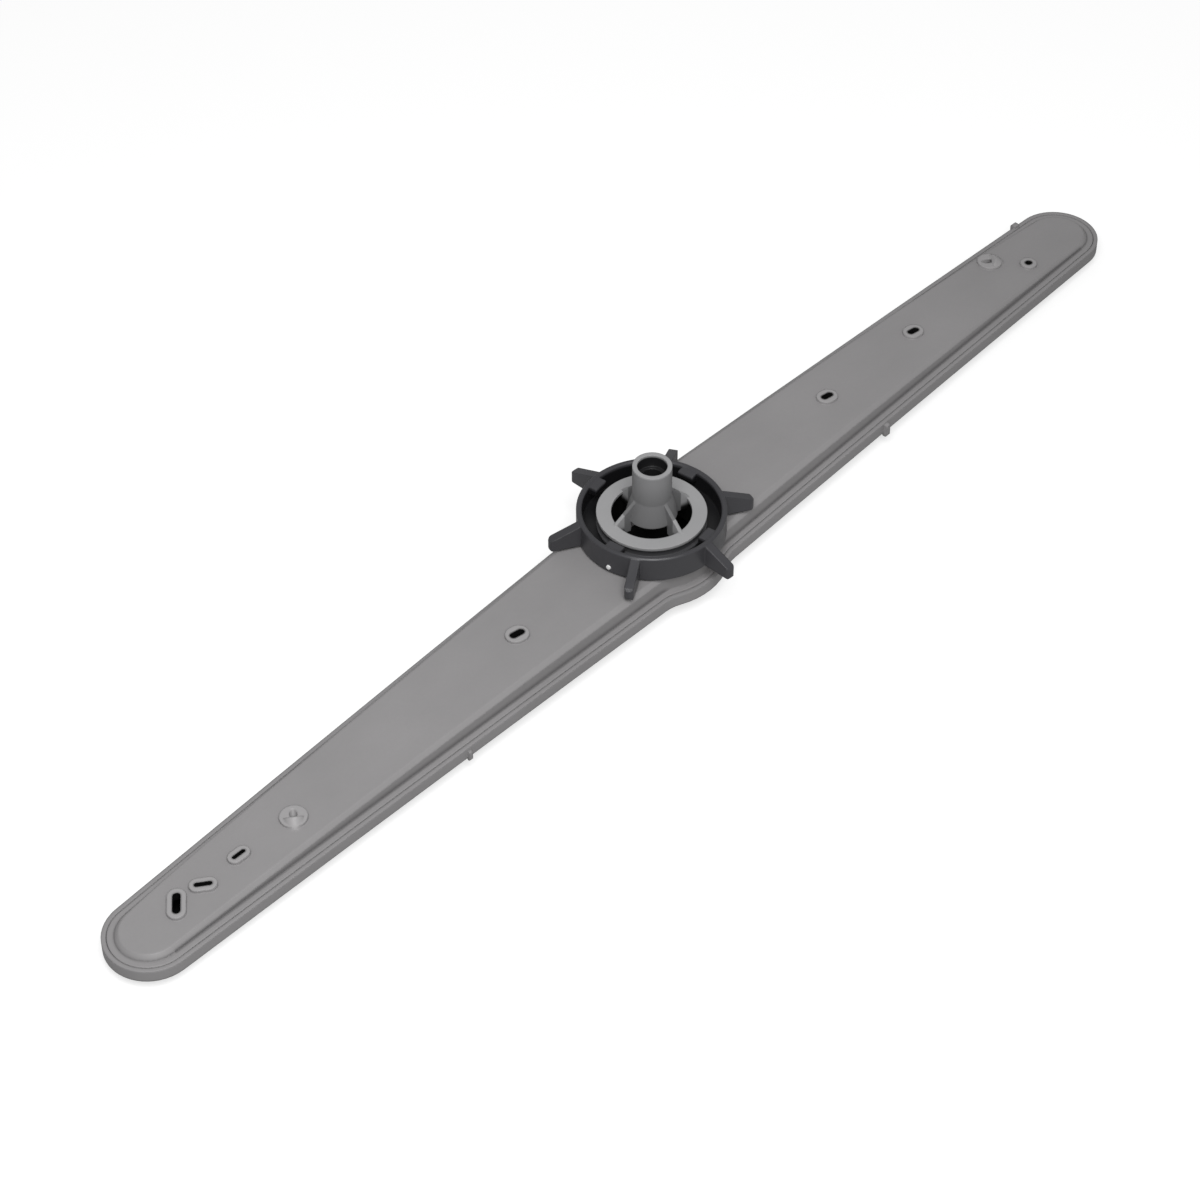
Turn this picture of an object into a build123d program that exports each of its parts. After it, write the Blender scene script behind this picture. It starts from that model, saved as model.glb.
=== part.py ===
"""Rotating spray arm of a dishwasher: two hollow shells, a spoked hub tube and a six-lug ring nut.

Millimetres, +Z up, +X along the arm. The origin is on the hub axis, on the underside of the arm.
"""
import os
from math import acos, asin, atan2, cos, degrees, hypot, sin, sqrt, tan

from build123d import *

os.makedirs("parts", exist_ok=True)

# Plan of the arm
HALF_LEN = 235.0      # hub axis to the end of either blade
TIP_R = 14.5          # round end of a blade
ROOT_HALF = 22.1      # half width of the tapering edges, carried to the hub axis
HUB_R = 25.6          # round swelling of the edge under the nut
BLEND_R = 14.0        # hollow curve between the swelling and the straight edge
FLANGE_W = 3.9        # width of the ledge round the raised deck
SEAM_IN = 1.5         # width of the lower shell's rim, which holds the upper shell's edge
SEAM_GAP = 0.15       # seam between that rim and the upper shell

# Heights; the datum is the level from which deck, hub and nut heights are counted
BELLY = 5.9           # underside of the arm to the underside of the edge, at the hub
EDGE_LOW = 2.1        # lower shell's share of the edge thickness
EDGE_UP = 2.1         # upper shell's share of the edge thickness
LEDGE_RISE = 1.3      # top of the ledge above the datum, at the hub
LEDGE_ARC = 12600.0   # radius of the ledge's fall towards the tips
DATUM = BELLY + EDGE_LOW + EDGE_UP - LEDGE_RISE
DECK_HUB = 7.7        # deck above the datum, at the hub
DECK_ARC = 3850.0     # radius of the deck's fall towards the tips
DECK_BEVEL = 1.3     # bevelled shoulder of the deck
WALL = 1.8            # wall of both shells
BELLY_INSET = 4.6     # belly set in from the outer edge
BELLY_EDGE = 1.4      # bevelled lower edge of the belly

# Hub, radii and heights above the datum
SEAT_R = 16.2         # plug that passes through the deck
SEAT_GAP = 0.15       # play of the plug in the deck opening
SEAT_LOW = 3.0        # lower end of the plug
SHOULDER_R = 17.0     # shoulder that rests on the deck
TRAP_R = 18.0         # flange that holds the nut down
TRAP_LOW = 10.9
TRAP_TOP = 11.9
NECK_R = 16.9         # neck above the flange
RIM_R = 17.96         # broad flat rim
RIM_IN = 13.1
RIM_TOP = 16.1
RIM_T = 1.1
THROAT_R = 14.8       # hollow throat below the rim
TUBE_R = 6.42         # upright tube
TUBE_TOP = 35.7
SOCKET_R = 4.9        # stepped bore of the tube
SOCKET_DEEP = 4.6
BORE_R = 3.6
SKIRT_TOP = 23.6      # flared foot of the tube
SKIRT_R = 8.4
SKIRT_LOW = 15.8
SPOKE_T = 1.3         # sloping spokes between tube and rim
SPOKE_TOP = 23.4
SPOKE_LOW = 11.8
SPOKE_ANGLES = (84.0, 163.0, 264.0, 343.0)
BARB_OUT = 0.7        # snap barbs under the deck
BARB_W = 5.0
BARBS = 4

# Ring nut, radii and heights above the datum
NUT_R = 24.44
NUT_WALL = 1.84
NUT_IN = NUT_R - NUT_WALL
NUT_LOW = 8.5
NUT_TOP = 17.5
NUT_FLOOR_TOP = 10.5
NUT_LIP_R = 17.4
NUT_EDGE = 0.5
LUGS = 6
LUG_FIRST = 29.25
LUG_T = 3.1
LUG_R = 34.8
LUG_TIP_TOP = 13.0
LUG_ROOT_TOP = 17.1
LUG_LOW = 8.75
LUG_ROUND = 1.4
TABS = 4              # locking tabs inside the nut
TAB_FIRST = 8.0
TAB_R = 19.7
TAB_W = 5.6
TAB_LOW = 14.4
TAB_TOP = 17.1
PIP_ANGLE = 187.5     # raised dot on the outside of the nut
PIP_Z = 10.2
PIP_R = 0.8
PIP_OUT = 0.4

# Edge clips of the lower shell: blade, distance in from its tip, side, width, reach, height over the ledge
CLIPS = (
    (-1, 130.0, -1, 1.3, 0.8, -1.6),
    (1, 136.5, -1, 1.9, 1.4, -0.5),
    (1, 20.2, 1, 2.2, 1.2, 0.9),
)
CLIP_DROP = 1.2       # clips reach this far below the edge

# Slot jets: blade, distance in from its tip, y, turn, slot length and width, rim length, width and height
SLOTS = (
    (-1, 170.7, -0.6, -11.0, 5.2, 2.5, 8.0, 7.0, 1.0),
    (-1, 50.4, -0.1, -3.0, 4.9, 1.4, 7.6, 4.8, 1.1),
    (-1, 35.7, -0.3, -39.0, 5.6, 1.7, 8.6, 5.0, 1.1),
    (-1, 25.6, 0.4, 46.4, 7.9, 2.5, 11.4, 5.8, 1.1),
    (1, 145.4, 0.0, -8.0, 4.6, 2.3, 7.6, 6.4, 1.0),
    (1, 97.6, 0.7, -8.0, 4.6, 2.3, 7.6, 6.4, 1.0),
    (1, 38.0, -4.4, 0.0, 2.7, 2.3, 6.0, 5.8, 1.0),
)
RIM_SINK = 0.5        # rims start this far inside the deck
# Slanting jets: blade, distance in from its tip, y, direction they face, hole diameter
SLANTS = (
    (-1, 71.5, -1.7, 50.0, 2.4),
    (1, 46.8, 6.3, 140.0, 2.4),
)
SLANT_R = 4.4         # slanting jet: foot radius, height and lean
SLANT_H = 2.6
SLANT_LEAN = 52.0

TIP_X = HALF_LEN - TIP_R
TAPER = acos(TIP_R / hypot(ROOT_HALF, TIP_X)) - atan2(TIP_X, ROOT_HALF)


def mirrored(points):
    """The same points on the other side of the hub, in reverse order."""
    return [(-x, y) for x, y in reversed(points)]


def outline(inset):
    """Closed plan face of the arm, set in evenly from its outer edge."""
    nx = sin(TAPER)
    ny = cos(TAPER)
    reach = ROOT_HALF * ny + BLEND_R
    far = HUB_R + BLEND_R
    along = sqrt(far**2 - reach**2)
    bx = nx * reach + ny * along
    by = ny * reach - nx * along
    hollow = BLEND_R + inset
    mx = -(nx + bx / far)
    my = -(ny + by / far)
    size = hypot(mx, my)
    tip = (TIP_X + nx * (TIP_R - inset), ny * (TIP_R - inset))
    edge = (bx - nx * hollow, by - ny * hollow)
    middle = (bx + mx / size * hollow, by + my / size * hollow)
    hub = (bx * (HUB_R - inset) / far, by * (HUB_R - inset) / far)
    end = (HALF_LEN - inset, 0)
    top = (0, HUB_R - inset)
    half = [tip, edge, middle, hub]
    back = mirrored(half)
    sides = []
    for sign in (1, -1):
        a = [(x, y * sign) for x, y in half]
        b = [(x, y * sign) for x, y in back]
        sides.append(Line(a[0], a[1]))
        sides.append(ThreePointArc(a[1], a[2], a[3]))
        sides.append(ThreePointArc(a[3], (top[0], top[1] * sign), b[0]))
        sides.append(ThreePointArc(b[0], b[1], b[2]))
        sides.append(Line(b[2], b[3]))
    sides.append(ThreePointArc((tip[0], -tip[1]), end, tip))
    sides.append(ThreePointArc((-tip[0], -tip[1]), (-end[0], 0), (-tip[0], tip[1])))
    return make_face(sides)


def fall(x, radius):
    """Drop of an arc that is level at the hub axis, at a distance along the arm."""
    return radius - sqrt(radius**2 - x**2)


def ledge_height(x):
    """Height of the ledge over the underside, at a distance along the arm."""
    return DATUM + LEDGE_RISE - fall(x, LEDGE_ARC)


def deck_height(x):
    """Height of the deck over the underside, at a distance along the arm."""
    return DATUM + DECK_HUB - fall(x, DECK_ARC)


def deck_slope(x):
    """Tilt of the deck about Y at a distance along the arm, in degrees."""
    return degrees(asin(x / DECK_ARC))


def from_tip(blade, distance):
    """Position along the arm, counted in from the tip of a blade."""
    return blade * (HALF_LEN - distance)


def under_arc(inset, top, radius, low):
    """Block of the arm's plan under an arched surface, down to a level underside."""
    far = HALF_LEN + 10
    end = top - fall(far, radius)
    arc = ThreePointArc((-far, end), (0, top), (far, end))
    foot = Polyline((far, end), (far, low), (-far, low), (-far, end))
    wedge = extrude(Plane.XZ * make_face([arc, foot]), ROOT_HALF + HUB_R, both=True)
    return (Pos(0, 0, low) * extrude(outline(inset), top - low + 1)) & wedge


def deck_hollow():
    """Space under the deck, with a ceiling of flat stretches that follows the deck."""
    far = HALF_LEN + 10
    bends = (-far, -HALF_LEN / 2, -HUB_R, HUB_R, HALF_LEN / 2, far)
    ceiling = [(x, deck_height(x) - WALL) for x in bends]
    side = make_face(Polyline(*ceiling, (far, 0), (-far, 0), close=True))
    wedge = extrude(Plane.XZ * side, ROOT_HALF + HUB_R, both=True)
    return extrude(outline(FLANGE_W + WALL), deck_height(0)) & wedge


def edge_band(inset, low, high):
    """Band of the arched edge between two depths below the ledge."""
    top = ledge_height(0)
    band = under_arc(inset, top - high, LEDGE_ARC, 0)
    return band - under_arc(inset - 3, top - low, LEDGE_ARC, -1)


def bevelled_deck():
    """The raised body with its top edge bevelled."""
    body = under_arc(FLANGE_W, deck_height(0), DECK_ARC, 0)
    tops = body.faces().filter_by(lambda f: f.normal_at().Z > 0.9)
    walls = body.faces().filter_by(lambda f: abs(f.normal_at().Z) < 0.1)
    wall_edges = walls.edges()
    rim = ShapeList(e for e in tops.edges() if any(e.is_same(w) for w in wall_edges)).sort_by(Axis.X)
    return chamfer(rim, DECK_BEVEL) - under_arc(FLANGE_W - 1, ledge_height(0) - EDGE_UP, LEDGE_ARC, -1)


def clip(blade, distance, side, width, reach, over):
    """Small clip on the outside of the edge."""
    x = from_tip(blade, distance)
    edge = ROOT_HALF - abs(x) * tan(TAPER)
    top = ledge_height(x) + over
    low = ledge_height(x) - EDGE_UP - EDGE_LOW - CLIP_DROP
    points = [
        (-1.0, top - 0.2), (-0.4, top), (reach - 0.5, top), (reach, top - 0.5),
        (reach, low + 0.5), (reach - 0.5, low), (-0.2, low), (-1.0, low + CLIP_DROP + 0.3),
    ]
    face = make_face(Polyline(*points, close=True))
    fin = extrude(Plane.YZ * face, width / 2, both=True)
    if side < 0:
        fin = Rot(0, 0, 180) * fin
    return Pos(x, side * edge, 0) * Rot(0, 0, -degrees(TAPER) * blade * side) * fin


def on_deck(x, y):
    """Location on the deck surface, tilted with it."""
    return Pos(x, y, deck_height(x)) * Rot(0, deck_slope(x), 0)


def oblong(length, width):
    """Rounded slot face, or a circle where both sizes agree."""
    if length - width < 0.05:
        return Circle(width / 2)
    return SlotOverall(length, width)


def slot_rim(x, y, turn, rim_len, rim_wid, high):
    """Raised oval round a slot jet."""
    foot = Pos(0, 0, -RIM_SINK) * extrude(oblong(rim_len, rim_wid), RIM_SINK + high)
    return on_deck(x, y) * Rot(0, 0, turn) * foot


def slot_hole(x, y, turn, length, width):
    """Opening of a slot jet through the deck."""
    cut = Pos(0, 0, -4) * extrude(oblong(length, width), 8)
    return on_deck(x, y) * Rot(0, 0, turn) * cut


def slant_boss(x, y, facing):
    """Leaning round boss of a slanting jet."""
    tilt = on_deck(x, y) * Rot(0, 0, facing) * Rot(0, SLANT_LEAN, 0)
    post = Pos(0, 0, -2) * Cylinder(SLANT_R - 1.1, SLANT_H + 1.6)
    foot = Cylinder(SLANT_R, 1.6)
    return (tilt * post) + (on_deck(x, y) * foot)


def slant_hole(x, y, facing, bore):
    """Leaning hole of a slanting jet."""
    tilt = on_deck(x, y) * Rot(0, 0, facing) * Rot(0, SLANT_LEAN, 0)
    return tilt * Cylinder(bore / 2, 12)


def upper_shell():
    """Upper half of the arm: ledge, hollow raised deck and jets."""
    shell = edge_band(SEAM_IN + SEAM_GAP, EDGE_UP, 0) + bevelled_deck()
    for blade, distance, y, turn, length, width, rim_len, rim_wid, high in SLOTS:
        shell += slot_rim(from_tip(blade, distance), y, turn, rim_len, rim_wid, high)
    for blade, distance, y, facing, bore in SLANTS:
        shell += slant_boss(from_tip(blade, distance), y, facing)
    shell -= deck_hollow()
    for blade, distance, y, turn, length, width, rim_len, rim_wid, high in SLOTS:
        shell -= slot_hole(from_tip(blade, distance), y, turn, length, width)
    for blade, distance, y, facing, bore in SLANTS:
        shell -= slant_hole(from_tip(blade, distance), y, facing, bore)
    return shell - Pos(0, 0, deck_height(0)) * Cylinder(SEAT_R + SEAT_GAP, 12)


def lower_shell():
    """Lower half of the arm: outer edge with its rim, hollow belly and edge clips."""
    block = extrude(outline(BELLY_INSET), BELLY)
    bottom = block.faces().sort_by(Axis.Z)[0]
    block = chamfer(bottom.edges(), BELLY_EDGE)
    belly = block & under_arc(BELLY_INSET - 1, BELLY + 0.5, LEDGE_ARC, -1)
    shell = edge_band(0, EDGE_LOW + EDGE_UP, 0) + belly
    shell -= edge_band(SEAM_IN, EDGE_UP, -3)
    shell -= under_arc(BELLY_INSET + WALL, ledge_height(0), LEDGE_ARC, WALL)
    for row in CLIPS:
        shell += clip(*row)
    return shell


def turned(points):
    """Solid of revolution about the hub axis from radius and height pairs."""
    face = make_face(Polyline(*points, close=True))
    return Pos(0, 0, DATUM) * revolve(Plane.XZ * face, Axis.Z)


def radial_plate(points, thick, angle):
    """Upright plate pointing away from the hub axis."""
    face = make_face(Polyline(*points, close=True))
    slab = extrude(Plane.XZ * face, thick / 2, both=True)
    return Pos(0, 0, DATUM) * Rot(0, 0, angle) * slab


def hub_collar():
    """Plug, shoulder, nut-holding flange, neck and flat rim of the hub."""
    return turned([
        (SEAT_R, SEAT_LOW), (SEAT_R, DECK_HUB), (SHOULDER_R, DECK_HUB), (SHOULDER_R, TRAP_LOW),
        (TRAP_R, TRAP_LOW), (TRAP_R, TRAP_TOP), (NECK_R, TRAP_TOP), (NECK_R, RIM_TOP - RIM_T),
        (RIM_R, RIM_TOP - RIM_T), (RIM_R, RIM_TOP), (RIM_IN, RIM_TOP), (RIM_IN, RIM_TOP - RIM_T),
        (THROAT_R, RIM_TOP - RIM_T), (THROAT_R, SEAT_LOW),
    ])


def hub_tube():
    """Upright tube with a stepped bore and a flared foot."""
    step = TUBE_TOP - SOCKET_DEEP
    return turned([
        (SOCKET_R, step), (SOCKET_R, TUBE_TOP), (TUBE_R, TUBE_TOP), (TUBE_R, SKIRT_TOP),
        (SKIRT_R, SKIRT_LOW), (BORE_R, SKIRT_LOW), (BORE_R, step),
    ])


def spoke(angle):
    """Sloping spoke from the foot of the tube to the throat, its top edge down to the rim."""
    points = [
        (TUBE_R - 0.9, SPOKE_TOP), (TUBE_R, SPOKE_TOP), (RIM_IN + 0.6, RIM_TOP + 0.4),
        (RIM_IN + 1.1, RIM_TOP - 0.2), (THROAT_R + 0.6, RIM_TOP - RIM_T), (THROAT_R + 0.6, SPOKE_LOW),
        (SKIRT_R - 0.2, SPOKE_LOW), (SKIRT_R - 0.6, SKIRT_LOW + 0.5), (TUBE_R - 0.9, SKIRT_TOP - 0.6),
    ]
    return radial_plate(points, SPOKE_T, angle)


def barb(angle):
    """Snap barb that hooks the plug under the deck."""
    under = DECK_HUB - WALL - 0.1
    points = [
        (SEAT_R - 0.6, under - 2.4), (SEAT_R, under - 2.4), (SEAT_R + BARB_OUT, under - 0.6),
        (SEAT_R + BARB_OUT, under), (SEAT_R - 0.6, under),
    ]
    return radial_plate(points, BARB_W, angle)


def hub():
    """Hub: collar, tube, sloping spokes and snap barbs in one moulding."""
    body = hub_collar() + hub_tube()
    for angle in SPOKE_ANGLES:
        body += spoke(angle)
    for k in range(BARBS):
        body += barb(45 + 360 / BARBS * k)
    return body


def lug(angle):
    """Upright lug with a falling top edge and a rounded end."""
    points = [
        (NUT_R - 1.0, LUG_LOW), (LUG_R - 0.6, LUG_LOW), (LUG_R, LUG_LOW + 0.6), (LUG_R, LUG_TIP_TOP - 0.8),
        (LUG_R - 0.8, LUG_TIP_TOP), (NUT_R - 0.4, LUG_ROOT_TOP), (NUT_R - 1.0, LUG_ROOT_TOP),
    ]
    body = radial_plate(points, LUG_T, 0)
    ends = body.edges().filter_by(Axis.Z).filter_by(lambda e: e.center().X > LUG_R - 0.1)
    body = fillet(ends, LUG_ROUND)
    return Rot(0, 0, angle) * body


def ring_nut():
    """Loose ring nut with six outer lugs and four inner locking tabs."""
    body = turned([
        (NUT_LIP_R, NUT_LOW), (NUT_R, NUT_LOW), (NUT_R, NUT_TOP - NUT_EDGE),
        (NUT_R - NUT_EDGE, NUT_TOP), (NUT_IN + NUT_EDGE, NUT_TOP), (NUT_IN, NUT_TOP - NUT_EDGE),
        (NUT_IN, NUT_FLOOR_TOP), (NUT_LIP_R, NUT_FLOOR_TOP),
    ])
    for k in range(LUGS):
        body += lug(LUG_FIRST + 360 / LUGS * k)
    for k in range(TABS):
        points = [
            (TAB_R, TAB_LOW + 0.5), (TAB_R + 0.5, TAB_LOW), (NUT_IN + 0.6, TAB_LOW - 0.6),
            (NUT_IN + 0.6, TAB_TOP), (TAB_R + 0.3, TAB_TOP), (TAB_R, TAB_TOP - 0.3),
        ]
        body += radial_plate(points, TAB_W, TAB_FIRST + 360 / TABS * k)
    pip = Rot(0, 90, 0) * Cylinder(PIP_R, 1.2 + PIP_OUT)
    reach = NUT_R - 0.6 + PIP_OUT / 2
    return body + Rot(0, 0, PIP_ANGLE) * Pos(reach, 0, DATUM + PIP_Z) * pip


PIECES = {
    "upper_shell": upper_shell,
    "lower_shell": lower_shell,
    "hub": hub,
    "ring_nut": ring_nut,
}

for name, make in PIECES.items():
    piece = make()
    piece.label = name
    export_step(piece, f"parts/{name}.step")
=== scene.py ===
"""Studio view of a dishwasher spray arm: moulded grey shells, lighter hub, dark ring nut."""

from math import cos, radians, sin

import bpy
from mathutils import Matrix, Vector

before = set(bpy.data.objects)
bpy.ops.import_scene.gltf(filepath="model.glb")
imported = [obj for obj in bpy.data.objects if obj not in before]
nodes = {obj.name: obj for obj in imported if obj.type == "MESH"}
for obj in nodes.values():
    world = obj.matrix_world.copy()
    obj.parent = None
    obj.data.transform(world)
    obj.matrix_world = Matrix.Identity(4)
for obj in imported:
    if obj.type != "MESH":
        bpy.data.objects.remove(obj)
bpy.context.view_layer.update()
scene = bpy.context.scene
scene.view_settings.view_transform = "Standard"

# Camera, as fitted to the outlines of the arm and the circles of the hub
CAM_AZIMUTH = radians(-47.859)
CAM_ELEVATION = radians(44.280)
CAM_DISTANCE = 1.120456
CAM_SHIFT_RIGHT = 0.016675
CAM_SHIFT_UP = 0.017240
CAM_LENS = 103.14

# Heights and radii of the object, in metres
DATUM = 0.0088            # level from which hub, nut and deck heights are counted
DECK_TOP = DATUM + 0.0077
DECK_ARC = 3.85           # radius of the deck's fall towards the tips
EDGE_ROOT = 0.0221        # half width of the arm, carried to the hub axis
EDGE_TAPER = 0.0342       # narrowing of that half width along the arm
THROAT_R = 0.0156         # inside of the hub's collar
RIM_UNDER = DATUM + 0.0149
NUT_BORE = 0.0228
NUT_INNER_TOP = DATUM + 0.0166
PIP = (-0.02452, -0.00323, DATUM + 0.0102)   # dot on the nut's wall
PIP_R = 0.00095
TIP_X = 0.2205            # centre and radius of the round ends
TIP_R = 0.0145
FLANGE_W = 0.0039         # ledge round the raised deck
LEDGE_TOP = DATUM + 0.0013
LEDGE_ARC = 12.6          # radius of the ledge's fall towards the tips
SLOTS = (                 # x, y, turn, length and width of the upright jets
    (-0.0643, -0.0006, -11.0, 0.0052, 0.0025),
    (-0.1846, -0.0001, -3.0, 0.0049, 0.0014),
    (-0.1993, -0.0003, -39.0, 0.0056, 0.0017),
    (-0.2094, 0.0004, 46.4, 0.0079, 0.0025),
    (0.0896, 0.0, -8.0, 0.0046, 0.0023),
    (0.1374, 0.0007, -8.0, 0.0046, 0.0023),
    (0.1970, -0.0044, 0.0, 0.0027, 0.0023),
)
SKIRT_R = 0.0105          # flared foot of the tube, with its spokes
SOCKET_R = 0.0051         # bore of the tube
SOCKET_TOP = DATUM + 0.0352
SKIRT_TOP = DATUM + 0.0236

# Plastics: darker and lighter tone
ARM_TONES = (0.262, 0.256, 0.259), (0.298, 0.290, 0.294)
LOWER_TONES = (0.256, 0.250, 0.253), (0.290, 0.283, 0.287)
HUB_TONES = (0.325, 0.325, 0.330), (0.365, 0.365, 0.370)
NUT_TONES = (0.044, 0.044, 0.048), (0.060, 0.059, 0.065)
ALONG_ARM = (0.6, 3.0, 3.0)
EVEN = (2.0, 2.0, 2.0)

# Colours laid over the plastics: painted shade, painted highlight and a white dot
# painted shade: near black for the water channel, the slots and the hub's throat
PAINTED_DEEP_SHADE = (0.006, 0.006, 0.006)
# painted shade for the corner between ledge and deck
PAINTED_GROOVE_SHADE = (0.105, 0.102, 0.104)
# painted highlight on the jet tops
PAINTED_JET_HIGHLIGHT = (0.380, 0.372, 0.376)
# painted shade on the collar wall under the rim
PAINTED_NECK_SHADE = (0.070, 0.070, 0.074)
# painted shade on the tube's side and, darker, its foot
PAINTED_TUBE_SIDE_SHADE = (0.240, 0.240, 0.245)
PAINTED_TUBE_FOOT_SHADE = (0.165, 0.165, 0.168)
# painted shade inside the tube's bore
PAINTED_BORE_SHADE = (0.014, 0.014, 0.015)
# painted shade inside the nut
PAINTED_NUT_SHADE = (0.010, 0.010, 0.011)
WHITE_DOT = (0.82, 0.82, 0.82)

# Studio
FLOOR_HALF = 6.0
FLOOR_DROP = 0.0002
FLOOR_TONE = 0.45
FLOOR_GLOW = 0.66
SURROUND = 0.33
KEY_PLACE = (-0.42, -0.40, 0.92)
KEY_SIZE = 0.7
KEY_POWER = 9.5


def add_camera():
    """Camera at the photograph's angle."""
    a, e = CAM_AZIMUTH, CAM_ELEVATION
    back = Vector((sin(a) * cos(e), -cos(a) * cos(e), sin(e)))
    right = Vector((cos(a), sin(a), 0))
    up = back.cross(right)
    data = bpy.data.cameras.new("camera")
    data.lens = CAM_LENS
    data.sensor_width = 36
    data.sensor_fit = "HORIZONTAL"
    data.clip_end = 20
    obj = bpy.data.objects.new("camera", data)
    scene.collection.objects.link(obj)
    place = back * CAM_DISTANCE - right * CAM_SHIFT_RIGHT - up * CAM_SHIFT_UP
    place.z += DATUM
    axes = Matrix((right, up, back)).transposed().to_4x4()
    obj.matrix_world = Matrix.Translation(place) @ axes
    scene.camera = obj


class Nodes:
    """Small helper for a material's node tree."""

    def __init__(self, name):
        self.mat = bpy.data.materials.new(name)
        self.mat.use_nodes = True
        self.tree = self.mat.node_tree
        self.bsdf = self.tree.nodes["Principled BSDF"]
        coords = self.tree.nodes.new("ShaderNodeTexCoord")
        self.place = coords.outputs["Object"]
        split = self.tree.nodes.new("ShaderNodeSeparateXYZ")
        self.tree.links.new(self.place, split.inputs[0])
        self.x, self.y, self.z = split.outputs

    def feed(self, socket, value):
        if isinstance(value, (int, float)):
            socket.default_value = value
        elif isinstance(value, tuple):
            socket.default_value = (*value, 1) if len(socket.default_value) == 4 else value
        else:
            self.tree.links.new(value, socket)

    def math(self, operation, a, b=0.0):
        node = self.tree.nodes.new("ShaderNodeMath")
        node.operation = operation
        self.feed(node.inputs[0], a)
        self.feed(node.inputs[1], b)
        return node.outputs[0]

    def step(self, value, start, end):
        """Smooth rise from nought at start to one at end."""
        node = self.tree.nodes.new("ShaderNodeMapRange")
        node.interpolation_type = "SMOOTHSTEP"
        node.inputs["From Min"].default_value = start
        node.inputs["From Max"].default_value = end
        self.tree.links.new(value, node.inputs["Value"])
        return node.outputs["Result"]

    def radius(self):
        """Distance from the hub axis."""
        x_square = self.math("MULTIPLY", self.x, self.x)
        y_square = self.math("MULTIPLY", self.y, self.y)
        return self.math("SQRT", self.math("ADD", x_square, y_square))

    def noise(self, scale, detail=3.0, rough=0.5, stretch=None):
        source = self.place
        if stretch:
            mapping = self.tree.nodes.new("ShaderNodeMapping")
            mapping.inputs["Scale"].default_value = stretch
            self.tree.links.new(source, mapping.inputs["Vector"])
            source = mapping.outputs["Vector"]
        tex = self.tree.nodes.new("ShaderNodeTexNoise")
        tex.inputs["Scale"].default_value = scale
        tex.inputs["Detail"].default_value = detail
        tex.inputs["Roughness"].default_value = rough
        self.tree.links.new(source, tex.inputs["Vector"])
        return tex.outputs["Fac"]

    def ramp(self, value, low, high):
        ramp = self.tree.nodes.new("ShaderNodeValToRGB")
        ramp.color_ramp.elements[0].position = 0.25
        ramp.color_ramp.elements[1].position = 0.75
        ramp.color_ramp.elements[0].color = (*low, 1)
        ramp.color_ramp.elements[1].color = (*high, 1)
        self.tree.links.new(value, ramp.inputs["Fac"])
        return ramp.outputs["Color"]

    def mix(self, fac, a, b):
        mix = self.tree.nodes.new("ShaderNodeMix")
        mix.data_type = "RGBA"
        self.feed(mix.inputs[0], fac)
        self.feed(mix.inputs[6], a)
        self.feed(mix.inputs[7], b)
        return mix.outputs[2]

    def spread(self, value, low, high):
        span = self.tree.nodes.new("ShaderNodeMapRange")
        span.inputs["From Min"].default_value = 0.3
        span.inputs["From Max"].default_value = 0.7
        span.inputs["To Min"].default_value = low
        span.inputs["To Max"].default_value = high
        self.tree.links.new(value, span.inputs["Value"])
        return span.outputs["Result"]

    def soft_edges(self, size):
        bevel = self.tree.nodes.new("ShaderNodeBevel")
        bevel.samples = 6
        bevel.inputs["Radius"].default_value = size
        return bevel.outputs["Normal"]

    def bump(self, height, strength, distance, under):
        bump = self.tree.nodes.new("ShaderNodeBump")
        bump.inputs["Strength"].default_value = strength
        bump.inputs["Distance"].default_value = distance
        self.tree.links.new(height, bump.inputs["Height"])
        self.tree.links.new(under, bump.inputs["Normal"])
        return bump.outputs["Normal"]

    def use(self, socket, value):
        self.tree.links.new(value, self.bsdf.inputs[socket])


def plastic(name, tones, rough, grain, flow, edge):
    """Moulded plastic: cloudy colour, uneven sheen, fine spark-eroded grain and faint flow lines."""
    dark, light = tones
    m = Nodes(name)
    cloud = m.noise(22, 4, 0.55, (1.0, 1.6, 1.6))
    tone = m.ramp(cloud, dark, light)
    speck = tuple(c * 0.9 for c in dark)
    m.colour = m.mix(m.spread(m.noise(900, 2, 0.6), 0.0, 0.12), tone, speck)
    m.use("Base Color", m.colour)
    m.use("Roughness", m.spread(m.noise(160, 3, 0.6), rough - 0.05, rough + 0.06))
    fine = m.bump(m.noise(2600, 2, 0.5), grain, 0.00006, m.soft_edges(edge))
    m.use("Normal", m.bump(m.noise(60, 3, 0.5, flow), 0.12, 0.0002, fine))
    m.bsdf.inputs["IOR"].default_value = 1.49
    m.bsdf.inputs["Specular IOR Level"].default_value = 0.42
    return m


def shade(m, mask, colour):
    """Lay another colour over the plastic where the mask is set."""
    m.colour = m.mix(mask, m.colour, colour)
    m.use("Base Color", m.colour)


def inside_arm(m, inset):
    """Mask of what lies between the side walls and the round ends of the arm."""
    along = m.math("ABSOLUTE", m.x)
    narrow = m.math("MULTIPLY", along, EDGE_TAPER)
    room = m.math("SUBTRACT", EDGE_ROOT - inset, m.math("ADD", narrow, m.math("ABSOLUTE", m.y)))
    return m.math("MULTIPLY", m.step(room, 0.0, 0.0004), m.step(along, TIP_X, TIP_X - 0.001))


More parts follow.
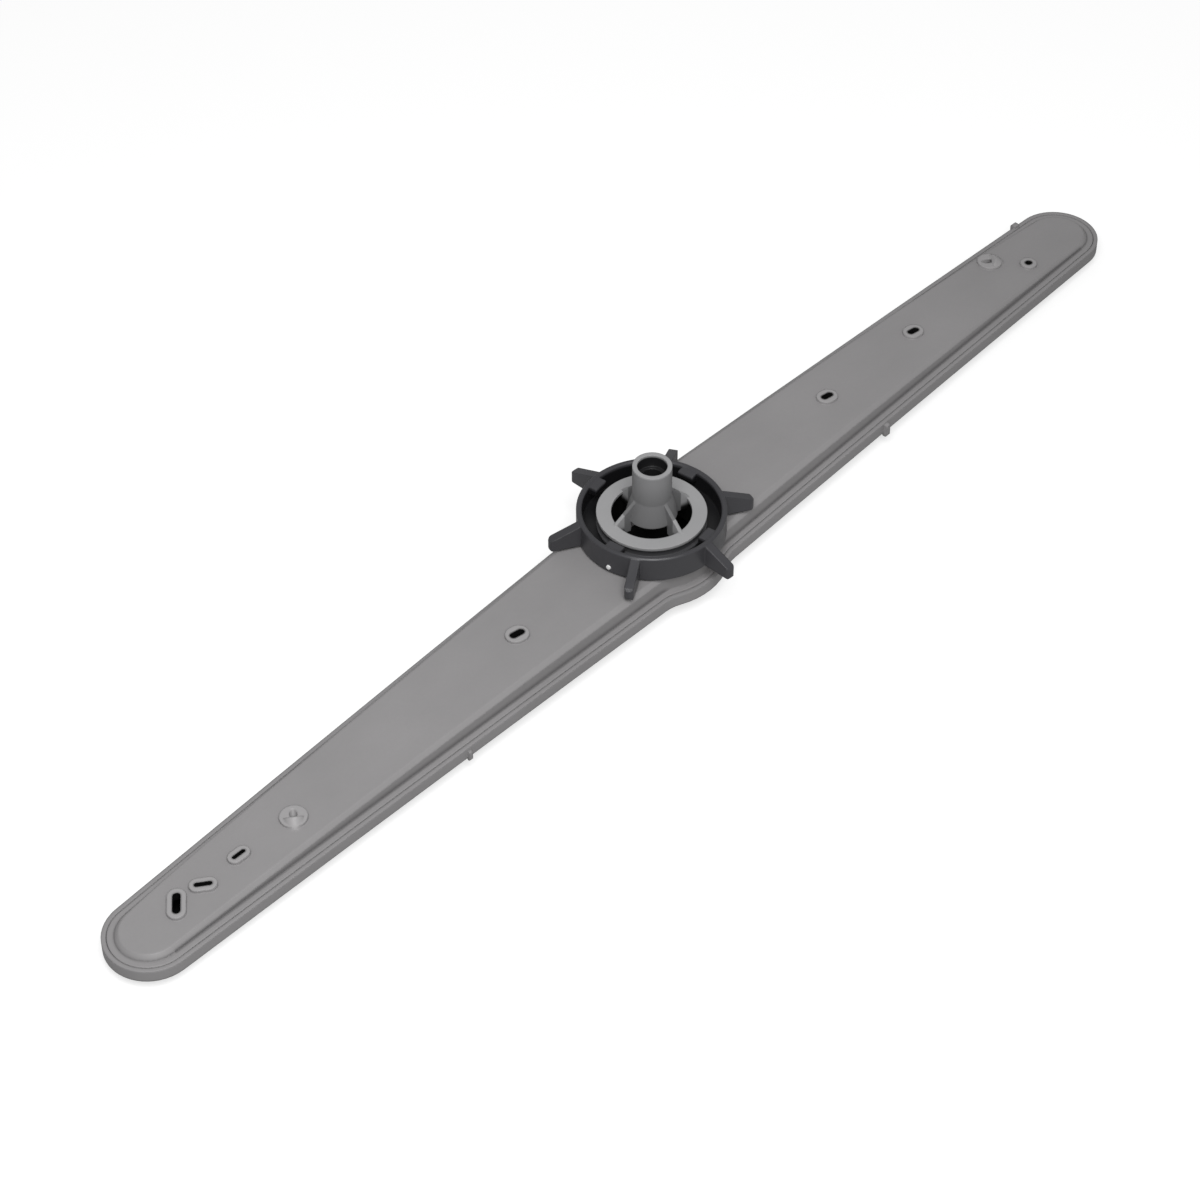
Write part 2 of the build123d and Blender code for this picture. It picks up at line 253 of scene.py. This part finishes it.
def painted_groove_mask(m):
    """Mask of the painted shade in the corner where the ledge meets the raised deck."""
    along = m.math("ABSOLUTE", m.x)
    narrow = m.math("MULTIPLY", along, EDGE_TAPER)
    straight = m.math("SUBTRACT", EDGE_ROOT, m.math("ADD", narrow, m.math("ABSOLUTE", m.y)))
    beyond = m.math("SUBTRACT", along, TIP_X)
    square = m.math("ADD", m.math("MULTIPLY", beyond, beyond), m.math("MULTIPLY", m.y, m.y))
    rounded = m.math("SUBTRACT", TIP_R, m.math("SQRT", square))
    at_tip = m.step(along, TIP_X - 0.0001, TIP_X + 0.0001)
    change = m.math("MULTIPLY", at_tip, m.math("SUBTRACT", rounded, straight))
    from_edge = m.math("ADD", straight, change)
    near = m.math("ABSOLUTE", m.math("SUBTRACT", from_edge, FLANGE_W))
    fall = m.math("MULTIPLY", m.math("MULTIPLY", m.x, m.x), 0.5 / LEDGE_ARC)
    above = m.math("SUBTRACT", m.math("ADD", m.z, fall), LEDGE_TOP)
    corner = m.math("MULTIPLY", m.step(near, 0.0009, 0.0001), m.step(above, 0.0022, 0.0))
    return m.math("MULTIPLY", corner, m.math("SUBTRACT", 0.7, m.math("MULTIPLY", at_tip, 0.4)))


def slot_mask(m, place):
    """Mask of a slot's opening and a 0.5 mm band round it, seen from above, where painted shade goes.
    """
    x, y, turn, length, width = place
    c, s = cos(radians(turn)), sin(radians(turn))
    dx = m.math("SUBTRACT", m.x, x)
    dy = m.math("SUBTRACT", m.y, y)
    along = m.math("ADD", m.math("MULTIPLY", dx, c), m.math("MULTIPLY", dy, s))
    across = m.math("SUBTRACT", m.math("MULTIPLY", dy, c), m.math("MULTIPLY", dx, s))
    beyond = m.math("MAXIMUM", m.math("SUBTRACT", m.math("ABSOLUTE", along), (length - width) / 2), 0.0)
    square = m.math("ADD", m.math("MULTIPLY", beyond, beyond), m.math("MULTIPLY", across, across))
    return m.step(m.math("SQRT", square), width / 2 + 0.0005, width / 2 + 0.0002)


def upper_plastic():
    """Upper shell, with painted shade making the water channel and the slots nearly black, painted
    shade in the corner round the deck, and painted highlight on the jet tops.
    """
    m = plastic("arm_plastic", ARM_TONES, 0.46, 0.20, ALONG_ARM, 0.0009)
    arch = m.math("MULTIPLY", m.math("MULTIPLY", m.x, m.x), 0.5 / DECK_ARC)
    depth = m.math("SUBTRACT", DECK_TOP, m.math("ADD", arch, m.z))
    # painted shade: the water channel inside the arm laid near black
    mask = m.math("MULTIPLY", m.step(depth, 0.0004, 0.0011), inside_arm(m, 0.0048))
    shade(m, mask, PAINTED_DEEP_SHADE)
    # painted shade in the corner between ledge and deck
    shade(m, painted_groove_mask(m), PAINTED_GROOVE_SHADE)
    # painted highlight on whatever rises above the deck
    raised_highlight = m.step(depth, -0.0004, -0.0008)
    shade(m, m.math("MULTIPLY", raised_highlight, 0.6), PAINTED_JET_HIGHLIGHT)
    below = m.step(depth, -0.0013, -0.0007)
    # painted shade: slot walls and a thin band round each opening laid near black
    for place in SLOTS:
        shade(m, m.math("MULTIPLY", slot_mask(m, place), below), PAINTED_DEEP_SHADE)
    return m.mat


def lower_plastic():
    """Lower shell, with painted shade making the water channel nearly black."""
    m = plastic("arm_plastic_lower", LOWER_TONES, 0.48, 0.20, ALONG_ARM, 0.0009)
    # painted shade: the water channel inside the lower shell laid near black
    mask = m.math("MULTIPLY", m.step(m.z, 0.0008, 0.0014), inside_arm(m, 0.0055))
    shade(m, mask, PAINTED_DEEP_SHADE)
    return m.mat


def hub_plastic():
    """Hub, with painted shade in the throat, below the rim and in the tube's bore, and painted shade
    darkening the tube's side and foot.
    """
    m = plastic("hub_plastic", HUB_TONES, 0.42, 0.12, EVEN, 0.0005)
    # painted shade: the throat below the rim laid near black
    deep = m.step(m.math("SUBTRACT", RIM_UNDER, m.z), -0.0004, 0.0022)
    inner = m.step(m.radius(), THROAT_R + 0.0003, THROAT_R)
    shade(m, m.math("MULTIPLY", deep, inner), PAINTED_DEEP_SHADE)
    # painted shade on the collar wall under the rim
    neck = m.step(m.radius(), THROAT_R + 0.0004, THROAT_R + 0.0007)
    under = m.step(m.math("SUBTRACT", RIM_UNDER, m.z), 0.0, 0.0003)
    shade(m, m.math("MULTIPLY", neck, under), PAINTED_NECK_SHADE)
    # painted shade: the tube's side darker than its top, and darker again towards its foot
    post = m.step(m.radius(), SKIRT_R + 0.0003, SKIRT_R)
    foot = m.step(m.z, SOCKET_TOP - 0.001, SKIRT_TOP - 0.002)
    side = m.math("MULTIPLY", post, m.step(m.z, SOCKET_TOP + 0.0002, SOCKET_TOP - 0.0004))
    shade(m, side, PAINTED_TUBE_SIDE_SHADE)
    shade(m, m.math("MULTIPLY", side, foot), PAINTED_TUBE_FOOT_SHADE)
    # painted shade inside the tube's bore
    bore = m.step(m.radius(), SOCKET_R + 0.0003, SOCKET_R)
    sunk = m.step(m.z, SOCKET_TOP, SOCKET_TOP - 0.0006)
    shade(m, m.math("MULTIPLY", bore, sunk), PAINTED_BORE_SHADE)
    return m.mat


def nut_plastic():
    """Ring nut, with painted shade inside, and one white dot on its wall."""
    m = plastic("nut_plastic", NUT_TONES, 0.33, 0.22, EVEN, 0.0006)
    # painted shade inside the nut's bore
    inner = m.step(m.radius(), NUT_BORE + 0.0002, NUT_BORE - 0.0002)
    low = m.step(m.math("SUBTRACT", NUT_INNER_TOP, m.z), 0.0, 0.0008)
    shade(m, m.math("MULTIPLY", inner, low), PAINTED_NUT_SHADE)
    away = 0.0
    for axis, centre in zip((m.x, m.y, m.z), PIP):
        gap = m.math("SUBTRACT", axis, centre)
        away = m.math("ADD", m.math("MULTIPLY", gap, gap), away)
    dot = m.step(m.math("SQRT", away), PIP_R, PIP_R * 0.9)
    shade(m, dot, WHITE_DOT)
    return m.mat


def add_materials():
    """One procedural plastic for each node."""
    made = {
        "upper_shell": upper_plastic(),
        "lower_shell": lower_plastic(),
        "hub": hub_plastic(),
        "ring_nut": nut_plastic(),
    }
    for name, material in made.items():
        mesh = nodes[name].data
        mesh.materials.clear()
        mesh.materials.append(material)


def add_floor():
    """Pale floor that looks white to the camera and keeps a soft shadow."""
    mesh = bpy.data.meshes.new("floor")
    half = FLOOR_HALF
    corners = [(-half, -half, 0), (half, -half, 0), (half, half, 0), (-half, half, 0)]
    mesh.from_pydata(corners, [], [(0, 1, 2, 3)])
    obj = bpy.data.objects.new("floor", mesh)
    scene.collection.objects.link(obj)
    obj.location.z = -FLOOR_DROP
    m = Nodes("floor_paper")
    m.bsdf.inputs["Base Color"].default_value = (FLOOR_TONE, FLOOR_TONE, FLOOR_TONE, 1)
    m.bsdf.inputs["Roughness"].default_value = 0.9
    m.bsdf.inputs["Specular IOR Level"].default_value = 0.0
    tree = m.tree
    rays = tree.nodes.new("ShaderNodeLightPath")
    glow = tree.nodes.new("ShaderNodeEmission")
    strength = m.math("MULTIPLY", rays.outputs["Is Camera Ray"], FLOOR_GLOW)
    tree.links.new(strength, glow.inputs["Strength"])
    both = tree.nodes.new("ShaderNodeAddShader")
    tree.links.new(m.bsdf.outputs[0], both.inputs[0])
    tree.links.new(glow.outputs[0], both.inputs[1])
    tree.links.new(both.outputs[0], tree.nodes["Material Output"].inputs["Surface"])
    mesh.materials.append(m.mat)


def add_area(name, place, aim, size, power):
    """Round soft light."""
    data = bpy.data.lights.new(name, "AREA")
    data.shape = "DISK"
    data.size = size
    data.energy = power
    obj = bpy.data.objects.new(name, data)
    scene.collection.objects.link(obj)
    obj.location = place
    way = Vector(aim) - Vector(place)
    obj.rotation_euler = way.to_track_quat("-Z", "Y").to_euler()


def add_light():
    """Even white surround and one soft light over the camera's side."""
    world = bpy.data.worlds.new("studio")
    scene.world = world
    world.use_nodes = True
    back = world.node_tree.nodes["Background"]
    back.inputs["Color"].default_value = (1, 1, 1, 1)
    back.inputs["Strength"].default_value = SURROUND
    add_area("softbox_key", KEY_PLACE, (0, 0, 0), KEY_SIZE, KEY_POWER)


add_camera()
add_materials()
add_floor()
add_light()
